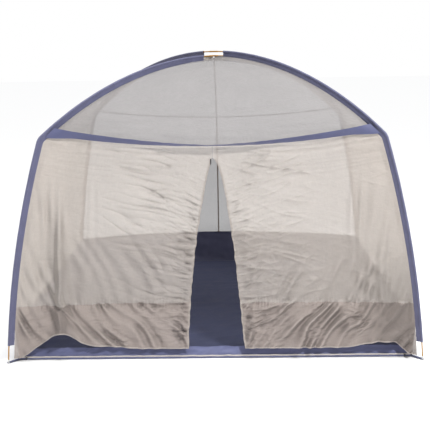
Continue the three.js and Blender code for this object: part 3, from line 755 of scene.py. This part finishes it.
def add_wall(side, seed):
    across, up = unit_grid(120, 90)
    points = wall_base(side, across, up)
    x, height = points[..., 0], points[..., 2]
    hanging = creases(x, height, 86, 0.22, 1.3, seed, 2.0) * (1 - 0.5 * up)
    corner = smooth(0.6, 1.0, np.abs(2 * across - 1)) * creases(x, height, 88, 0.1, 1.0, seed + 1)
    relief = 0.012 * hanging + 0.014 * corner + 0.010 * softly(x, height, 0.5, seed)
    relief += 0.004 * creases(x, height, -10, 0.14, 0.8, seed + 2, 5.0)
    flat = (2 * FLOOR_HALF, float(EAVE_HEIGHT - SKIRT_TOP) * 1.03)
    azimuth = SIDES[side][0]
    base = turned(points, azimuth)
    wall, _ = creased_sheet(f"wall_cloth_{side}", base, relief * held_edges(across, up), flat)
    # painted shade: the back wall takes the darkest copy of the netting, the side walls a darker
    # one
    look = SHADED_BACK_MESH if side == "back" else SHADED_WALL_MESH
    settle(wall, look, [f"wall_{side}"])
    add_eave_binding(side, azimuth)


def add_eave_binding(side, azimuth):
    """The binding that covers the seam between a wall and the roof."""
    across, up = unit_grid(90, 3)
    ribbon = wall_base(side, across, 1.0)
    ribbon[..., 2] += BINDING_WIDTH * (up - 0.5)
    ribbon[..., 1] -= 0.0025 * np.sin(np.pi * up) + 0.001
    flat = (float(2 * EAVE_HALF), BINDING_WIDTH)
    binding = grid_object(f"eave_binding_{side}", turned(ribbon, azimuth), flat)
    settle(binding, SEAM_TAPE)


def add_skirt(side, seed):
    across, up = unit_grid(130, 16)
    top = skirt_top(side, across)
    height = lerp(0.25 * FLOOR_TOP, top, up)  # the tub wall starts inside the floor's thickness
    half = lerp(FLOOR_HALF, half_width(top), up)
    x = lerp(-1, 1, across) * (half - SEAM_SIDE)
    points = xyz(x, -half, height)
    relief = 0.008 * creases(x, height, 80, 0.12, 0.25, seed)
    relief += 0.006 * creases(x, height, 4, 0.07, 0.5, seed + 1)
    relief += 0.006 * softly(x, height, 0.3, seed)
    points = points + (relief * held_edges(across, up, 0.06))[..., None] * grid_normals(points)
    flat = (2 * FLOOR_HALF, float(top.mean()) - FLOOR_TOP)
    skirt = grid_object(f"tub_{side}", turned(points, SIDES[side][0]), flat)
    settle(skirt, SKIRT_CLOTH, [f"skirt_{side}"])


def add_floor():
    across, up = unit_grid(170, 170)
    x, y = lerp(-FLOOR_HALF, FLOOR_HALF, across), lerp(-FLOOR_HALF, FLOOR_HALF, up)
    ripple = 0.006 * creases(x, y, 8, 0.22, 1.1, 3.3, 2.0)
    ripple += 0.005 * creases(x, y, 97, 0.3, 1.2, 5.1)
    ripple += 0.004 * creases(x, y, 40, 0.3, 0.7, 8.4, 4.0)
    z = 0.0008 + ripple * held_edges(across, up, 0.02)
    flat = (2 * FLOOR_HALF, 2 * FLOOR_HALF)
    floor = grid_object("groundsheet", xyz(x, y, z), flat)
    settle(floor, TUB_CLOTH, ["floor"])


def add_back_seam():
    """The closed centre zip of the back wall and the seam that goes on up the roof."""
    across, up = unit_grid(4, 120)
    low_corner, high_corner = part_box("back_seam_tape")
    half = 0.75 * (high_corner.x - low_corner.x) / 2  # drawn a quarter narrower than in the CAD
    centre = 0.5 + 0 * up
    wall = wall_base("back", centre, up)
    roof = roof_base("back", centre, up)
    for name, base, look in (("back_zip", wall, BROWN_TAPE), ("back_roof_seam", roof, SEAM_TAPE)):
        points = base.copy()
        points[..., 0] += lerp(-half, half, across)
        points[..., 1] += 0.012 - 0.002 * np.sin(np.pi * across)
        flat = (2 * half, path_length(base[:, 0]))
        tape = grid_object(name, turned(points, SIDES["back"][0]), flat)
        settle(tape, look, ["back_seam_tape"] if name == "back_zip" else [])


# -------- sill


def add_sill():
    """The sill: an upright lip, and above it a slack flap that leans inward."""
    across, up = unit_grid(420, 14)
    x = lerp(-SILL_HALF, SILL_HALF, across)
    wave = noise(x / 0.09 + 3, 0 * x + 1.5)
    lip = np.minimum(1, up / LIP_SHARE)
    flap = np.maximum(0, (up - LIP_SHARE) / (1 - LIP_SHARE))
    z = lerp(FLOOR_TOP, SILL_LIP, lip) + flap * (SILL_HEIGHT - SILL_LIP + 0.006 * wave)
    y = -SILL_FRONT + flap * SILL_LEAN + 0.002 * wave * lip
    base = xyz(x, y, z)
    slack = creases(x, up * 0.08, 12, 0.03, 0.14, 7.7, 2.0) - 0.4
    slack = 0.010 * slack * smooth(0.0, 0.4, flap) * smooth(0, 0.01, across * (1 - across))
    flap_depth = float(np.hypot(SILL_LEAN, SILL_HEIGHT - SILL_LIP))
    flat = (2 * SILL_HALF, SILL_LIP - FLOOR_TOP + flap_depth)
    sill, _ = creased_sheet("sill_cloth", base, slack, flat)
    settle(sill, SILL_CLOTH, ["sill"])
    add_sill_tape(base[np.searchsorted(lip[:, 0], 1.0)])


def add_sill_tape(lip_edge):
    """The pale zip tape that stands along the top of the sill's lip, curling a little."""
    _, up = unit_grid(len(lip_edge) - 1, 5)
    x, y, z = lip_edge.T
    curl = 0.0035 * noise(x / 0.05 + 11, up * 0.9)
    y = y - 0.0012 + curl * up - 0.002 * np.sin(np.pi * up)
    z = z + up * TAPE_WIDTH + 0.002 * noise(x / 0.07, 0 * up + 6)
    flat = (2 * SILL_HALF, TAPE_WIDTH)
    tape = grid_object("sill_zip", xyz(x, y, z), flat)
    settle(tape, ZIP_TAPE, ["sill_zip_tape"])


# -------- front curtains and doors


def front_depth(reach, height):
    """Depth of the front cloth: flat in the middle, bending out to the corner seams."""
    rise = (height - HEM_HEIGHT) / (EAVE_MIDDLE - HEM_HEIGHT)
    flat = -lerp(HEM_FRONT, HEAD_FRONT, rise)
    half = half_width(height)
    bend = np.maximum(0, (reach - FOLD_FOOT) / (half - FOLD_FOOT)) ** 2
    return lerp(flat, -half, bend)


def zip_reach(door, height):
    """How far from the middle a curtain's zip edge hangs."""
    drop = np.clip((ZIP_TOP - height) / (ZIP_TOP - HEM_HEIGHT), 0, 1)
    ripple = noise(height / 0.055 + door.sign, 0 * height + 2.2)
    scallop = 0.007 * ripple * smooth(0.03, 0.3, drop)
    opened = 1 - (1 - drop) ** door.bow
    return 0.004 + door.part * opened ** door.power + scallop


def hem_rise(door, reach):
    """How far the hem hangs above its lowest line: bunched up near the corners, then down."""
    if door.sign < 0:
        lift = 0.125 * bump(reach, 1.17, 0.15) + 0.02 * bump(reach, 0.85, 0.2)
    else:
        lift = 0.045 * smooth(0.95, 1.3, reach)
    corner = smooth(HEM_END - 0.16, HEM_END, reach)
    return lerp(lift, -0.055, corner)


def zip_gathers(edge, height, seed):
    """Puckers that fan out from the zip, edge metres away, and a net of fine creases in them."""
    near = np.exp(-edge / 0.20) * smooth(0.0, 0.2, height) * (1 - smooth(1.25, 1.45, height))
    fan = height - 0.16 * edge - 0.30 * edge * (height - 0.75)
    pucker = creases(edge, fan, 0, 0.042, 0.30, seed, 2.2)
    pucker += 0.4 * creases(edge, fan, 6, 0.020, 0.22, seed + 15, 2.5)
    net = creases(edge, fan, 27, 0.060, 0.25, seed + 16, 5.0)
    net += creases(edge, fan, -21, 0.055, 0.22, seed + 17, 5.0)
    net *= np.exp(-edge / 0.32) * bump(height, 0.75, 0.55)
    return 0.024 * near * pucker + 0.013 * net


def eave_swags(x, under, seed):
    """Swags just under the eave, which is under metres above, away from the middle."""
    swag = creases(x, under, 0, 0.045, 0.6, seed + 1, 2.4) * np.exp(-under / 0.12)
    return 0.024 * swag * smooth(0.05, 0.45, np.abs(x))


def drifting_creases(sign, x, height, patches, seed):
    """Thin creases that cross the middle of a curtain, in patches."""
    drift = creases(x, height, -13, 0.085, 0.60, seed + 2, 6.0) * smooth(0.40, 0.62, height)
    drift += 0.8 * creases(x, height, 18 * sign, 0.09, 0.45, seed + 9, 8.0)
    return 0.020 * drift * lerp(0.25, 1.0, patches) * (1 - 0.85 * smooth(0.60, 0.90, np.abs(x)))


def hanging_folds(sign, x, height, edge, low, seed):
    """Rounded folds: leaning ones in the lower half, upright ones towards the corner."""
    lean = folds(x, height, 56 if sign > 0 else 112, 0.105, 0.5, seed + 3)
    lean *= (1 - smooth(0.60, 1.00, height)) * smooth(0.12, 0.4, edge) * (1 - 0.8 * low)
    upright = folds(x, height, 88, 0.085, 0.9, seed + 4) * smooth(0.80, 1.1, np.abs(x))
    upright *= (1 - smooth(1.1, 1.45, height)) * (1 - 0.7 * low)
    return 0.026 * lean + 0.020 * upright


def strip_folds(door, x, height, patches, low, seed):
    """The crumpled lower strip, and the puckered seam along its top."""
    crumple = folds(x, height, 50 * door.sign, 0.085, 0.30, seed + 5)
    crumple += 0.4 * patches * creases(x, height, 12, 0.032, 0.14, seed + 6, 2.5)
    seam = creases(x, height, 90, 0.026, 0.2, seed + 7, 1.5) - 0.6
    return door.crumple * low * crumple + 0.012 * seam * bump(height, STRIP_TOP, 0.035)


def curtain_relief(door, reach, height, edge):
    """Movement of a curtain's cloth out of its surface. edge is the distance from the zip."""
    sign = door.sign
    x = sign * reach
    seed = 20 + sign * 3
    under = EAVE_HEIGHT - FRONT_SAG * (1 - (reach / EAVE_HALF) ** 2) - height
    patches = smooth(-0.25, 0.45, softly(x, height, 0.28, seed + 12))
    low = 1 - smooth(STRIP_TOP - 0.02, STRIP_TOP + 0.02, height)

    relief = zip_gathers(edge, height, seed) + eave_swags(x, under, seed)
    relief += drifting_creases(sign, x, height, patches, seed)
    relief += hanging_folds(sign, x, height, edge, low, seed)
    relief += strip_folds(door, x, height, patches, low, seed)
    relief += 0.018 * softly(x, height, 0.45, seed) - 0.014
    if sign < 0:
        relief -= 0.065 * bump(reach, PLEAT_REACH, 0.050) * (1 - smooth(0.9, 1.3, height))
    sewn = lerp(0.3, 1.0, smooth(0, 0.06, edge))  # the tape holds the cloth's edge flatter
    return relief * smooth(0, 0.05, under) * sewn


def corner_gather_and_shade(door, base):
    """Where the curtain's cloth is bunched and so denser, which its netting also shows as painted
    shade: slack low down, and most towards the corner.
    """
    reach, height = np.abs(base[..., 0]), base[..., 2]
    # painted shade as well as slack: the netting is darker low down
    slack = 0.18 * (1 - smooth(STRIP_TOP, 0.85, height))
    if door.sign < 0:
        # painted shade in the pleat's deep groove
        return slack + 0.40 * bump(reach, PLEAT_REACH, 0.055) * (1 - smooth(0.9, 1.3, height))
    # painted shade towards the right curtain's lower outer corner
    return slack + 0.55 * smooth(1.05, 1.35, reach) * (1 - smooth(0.55, 1.15, height))


def curtain_points(door, across, up):
    """The curtain's smooth surface, and the relief that is to be moved out of it."""
    zip_row = 0.93  # the share of the rows that lies below the top of the zip
    above = np.maximum(0, (up - zip_row) / (1 - zip_row))
    nominal = lerp(HEM_HEIGHT, ZIP_TOP, np.minimum(1, up / zip_row))
    inner = zip_reach(door, nominal) + TAPE_PROUD
    inner = lerp(inner, 0.0012, smooth(0, 0.12, above))
    corner = half_width(nominal + above * (EAVE_HEIGHT - ZIP_TOP)) - SEAM_SIDE
    reach = lerp(inner, corner, across)
    eave = EAVE_HEIGHT - FRONT_SAG * (1 - (reach / EAVE_HALF) ** 2)
    drop = (ZIP_TOP - nominal) / (ZIP_TOP - HEM_HEIGHT)
    height = lerp(nominal, eave, above) + hem_rise(door, reach) * drop**3
    base = xyz(door.sign * reach, front_depth(reach, height), height)
    relief = curtain_relief(door, reach, height, reach - inner)
    return base, relief * smooth(0, 0.035, 1 - across)


def add_curtain(door):
    """A curtain with its lower strip, its zip tape and its hem: one cloth."""
    side, flat = door.side, CURTAIN_SIZE
    across, up = unit_grid(250, 290)
    base, relief = curtain_points(door, across, up)
    # bunched: denser netting, also darkened there with painted shade
    bunched = corner_gather_and_shade(door, base)
    cloth, points = creased_sheet(f"front_curtain_{side}", base, relief, flat, bunched)
    settle(cloth, CURTAIN_MESH, [f"curtain_{side}", f"door_leaf_{side}"], door)
    # painted shade: the lower strip takes the darker copy of the netting
    cloth.data.materials.append(SHADED_STRIP_MESH)
    middles = np.array([face.center.z for face in cloth.data.polygons])
    cloth.data.polygons.foreach_set("material_index", (middles < STRIP_TOP).astype(np.int32))
    add_door_tape(door, points)
    add_hem(door, points)


def add_door_tape(door, curtain):
    """The zip tape: a pale strip down the curtain's edge, with the coil along its free side."""
    side, sign = door.side, door.sign
    below = curtain[:, 0, 2] <= ZIP_TOP + 0.001
    edge = curtain[below, 0]
    shares = np.linspace(0, 1, 7)
    points = np.repeat(edge[:, None, :], len(shares), axis=1)
    points[..., 0] -= sign * (TAPE_PROUD - shares * TAPE_WIDTH)
    coil = np.where(shares < 0.3, 0.0022 * np.sin(np.pi * shares / 0.3), 0.0)
    points[..., 1] -= 0.0016 + coil
    flat = (TAPE_WIDTH, path_length(edge))
    tape = grid_object(f"door_zip_{side}", points, flat)
    settle(tape, DOOR_TAPE, [f"door_zip_tape_{side}"], door)


def add_hem(door, curtain):
    """The binding along the curtain's lower edge."""
    edge = curtain[0]
    shares = np.linspace(0, 1, 5)[:, None]
    points = np.repeat(edge[None], len(shares), axis=0)
    points[..., 2] += (shares - 0.1) * HEM_DEPTH
    points[..., 1] -= 0.0015 + 0.0025 * np.sin(np.pi * shares)
    flat = (path_length(edge), HEM_DEPTH)
    hem = grid_object(f"curtain_hem_{door.side}", points, flat)
    settle(hem, HEM_TAPE, door=door)


def add_band():
    """The front eave band: upright at its ends, turned almost flat in the middle."""
    across, up = unit_grid(200, 8)
    x = lerp(-BAND_HALF_SPAN, BAND_HALF_SPAN, across)
    slack = 1 - (x / EAVE_HALF) ** 2
    share = np.abs(x / BAND_HALF_SPAN)
    twist = lerp(BAND_TILT, BAND_TWIST, share**1.2)
    crown = 0.0022 * np.sin(np.pi * up)
    ripple = 0.0025 * noise(x / 0.08, up * 1.2) * np.sin(np.pi * across)
    out = BAND_WIDTH * up * np.cos(twist) + (crown + ripple) * np.sin(twist)
    y = -(EAVE_HALF - FRONT_PULL * slack) - BAND_OFFSET * smooth(0, 0.08, 1 - share) - out
    z = EAVE_HEIGHT - FRONT_SAG * slack + BAND_WIDTH * up * np.sin(twist)
    z = z - (crown + ripple) * np.cos(twist)
    # the lower corners of the band reach further out than the upper ones, along the sleeve
    at_end = smooth(0.85, 1.0, share)
    reach_out = 0.05 * (1 - up) * at_end
    x = x + np.sign(x) * (reach_out - 0.022 * up * at_end)
    y = y - 0.8 * reach_out
    z = z - 0.25 * reach_out
    flat = (2 * BAND_HALF_SPAN, BAND_WIDTH)
    band = grid_object("eave_band", xyz(x, y, z), flat)
    settle(band, BAND_CLOTH, ["front_eave_band"])


# -------- straps, sliders and pulls


def add_strap(quarter, azimuth):
    """Webbing from the floor's corner to the foot pin, with a ring round the pin."""
    eyelet = FOOT_REACH + (FOOT_LIFT - STRAP_HEIGHT) * np.tan(LEG_LEAN)
    start = FLOOR_HALF / DIAGONAL - 0.03
    half = STRAP_WIDTH / 2
    across, along = unit_grid(8, 40)
    side = lerp(-half, half, across)
    tip = np.sqrt(np.maximum(0, half**2 - side**2))
    reach = lerp(start, eyelet + tip, along)
    rise = STRAP_HEIGHT - 0.0006 + 0.0012 * noise(reach / 0.04, side / 0.02 + azimuth)
    height = lerp(FLOOR_TOP, rise, smooth(0.0, 0.3, along))
    points = turned(xyz(reach, side, height), azimuth)
    flat = (STRAP_WIDTH, float(eyelet + half - start))
    strap = grid_object(f"strap_{quarter}", points, flat)
    settle(strap, STRAP_WEB, [f"corner_strap_{quarter}"])

    inner, outer, thick = 0.0045, 0.0085, 0.0012
    profile = [(inner, -thick), (outer - 0.0006, -thick), (outer, -thick / 2)]
    profile += [(outer - 0.0006, thick), (inner + 0.0006, thick * 1.2), (inner, thick / 2)]
    ring = lathe(f"eyelet_{quarter}", profile)
    lifted = Matrix.Translation((eyelet, 0, STRAP_HEIGHT))
    ring.data.transform(Matrix.Rotation(azimuth, 4, "Z") @ lifted)
    settle(ring, TIP_PLASTIC)


def dress_small_metal():
    """The sliders and pulls keep their CAD shape, with their edges rounded."""
    for name in [name for name in frame["nodes"] if "slider" in name]:
        node = frame["nodes"][name]
        dress(node, ZIP_METAL)
        rounding = node.modifiers.new("rounding", "BEVEL")
        rounding.width = 0.0005
        rounding.segments = 2


# -------- stage, light and camera


def add_stage():
    shader = Shader("studio_floor")
    cloudy = shader.noise(shader.position(), 3.0)
    tone = shader.tint((0.97, 0.97, 0.97), cloudy, 0.995, 1.005)
    signs = [(-1, -1), (1, -1), (1, 1), (-1, 1)]
    corners = [(x * GROUND_HALF, y * GROUND_HALF, 0) for x, y in signs]
    ground = make_object("studio_ground", corners, [(0, 1, 2, 3)])
    ground.location.z = -0.002
    dress(ground, shader.finish(shader.principled(tone, 0.9)))


def add_light():
    """A white backdrop with a weak even fill, a wide sun overhead and two soft boxes."""
    shader = Shader("studio", "worlds")
    fill_inputs = {"Color": (0.97, 0.98, 1.0, 1.0), "Strength": 0.20}
    fill = shader.add("Background", fill_inputs).outputs[0]
    seen = shader.add("Background", {"Color": (1.0, 1.0, 1.0, 1.0)}).outputs[0]
    camera_ray = shader.add("LightPath").outputs["Is Camera Ray"]
    chosen = shader.add("MixShader", {0: camera_ray, 1: fill, 2: seen}).outputs[0]
    bpy.context.scene.world = shader.finish(chosen, "World")

    add_lamp("overhead", "SUN", (0, 0, 6), (0.05, 0.10, 1.0), energy=2.7, angle=np.radians(30))
    for name, place, size, power in SOFT_BOXES:
        behind = Vector(place) - Vector(FRONT_MIDDLE)
        add_lamp(name, "AREA", place, behind, size=size, energy=power)


def add_lamp(name, kind, place, behind, **settings):
    """A lamp at a place, with its back towards a direction."""
    light = bpy.data.lights.new(name, kind)
    for setting, value in settings.items():
        setattr(light, setting, value)
    lamp = bpy.data.objects.new(name, light)
    lamp.location = place
    lamp.rotation_mode = "QUATERNION"
    lamp.rotation_quaternion = Vector(behind).to_track_quat("Z", "Y")
    bpy.context.scene.collection.objects.link(lamp)


def add_camera():
    camera = bpy.data.cameras.new("camera")
    camera.sensor_width = 36.0
    camera.lens = LENS
    eye = bpy.data.objects.new("camera", camera)
    bpy.context.scene.collection.objects.link(eye)
    yaw, pitch, roll = CAMERA_TURNS
    level = Vector((np.cos(yaw), -np.sin(yaw), 0))
    forward = Vector((np.sin(yaw) * np.cos(pitch), np.cos(yaw) * np.cos(pitch), -np.sin(pitch)))
    upward = level.cross(forward)
    right = np.cos(roll) * level + np.sin(roll) * upward
    above = np.cos(roll) * upward - np.sin(roll) * level
    axes = Matrix((right, above, -forward)).transposed()
    eye.matrix_world = Matrix.Translation(CAMERA_PLACE) @ axes.to_4x4()
    bpy.context.scene.camera = eye
    bpy.context.scene.view_settings.view_transform = "Standard"


# -------- assembly

add_camera()
add_light()
add_stage()

for index, (quarter, azimuth, line) in enumerate(QUARTERS):
    add_pole_quarter(quarter, azimuth, line)
    add_foot_plug(quarter, azimuth)
    add_sleeves(quarter, azimuth, line, 4.0 + 7 * index)
    add_strap(quarter, azimuth)
add_crown("low", LOW_LINE, QUARTERS[0][1])
add_crown("high", HIGH_LINE, QUARTERS[1][1])

for index, side in enumerate(SIDES):
    add_roof_panel(side, 30.0 + 5 * index)
    if side != "front":
        add_wall(side, 60.0 + 5 * index)
        add_skirt(side, 90.0 + 5 * index)
add_floor()
add_back_seam()
add_sill()
add_band()
add_curtain(LEFT_DOOR)
add_curtain(RIGHT_DOOR)
dress_small_metal()
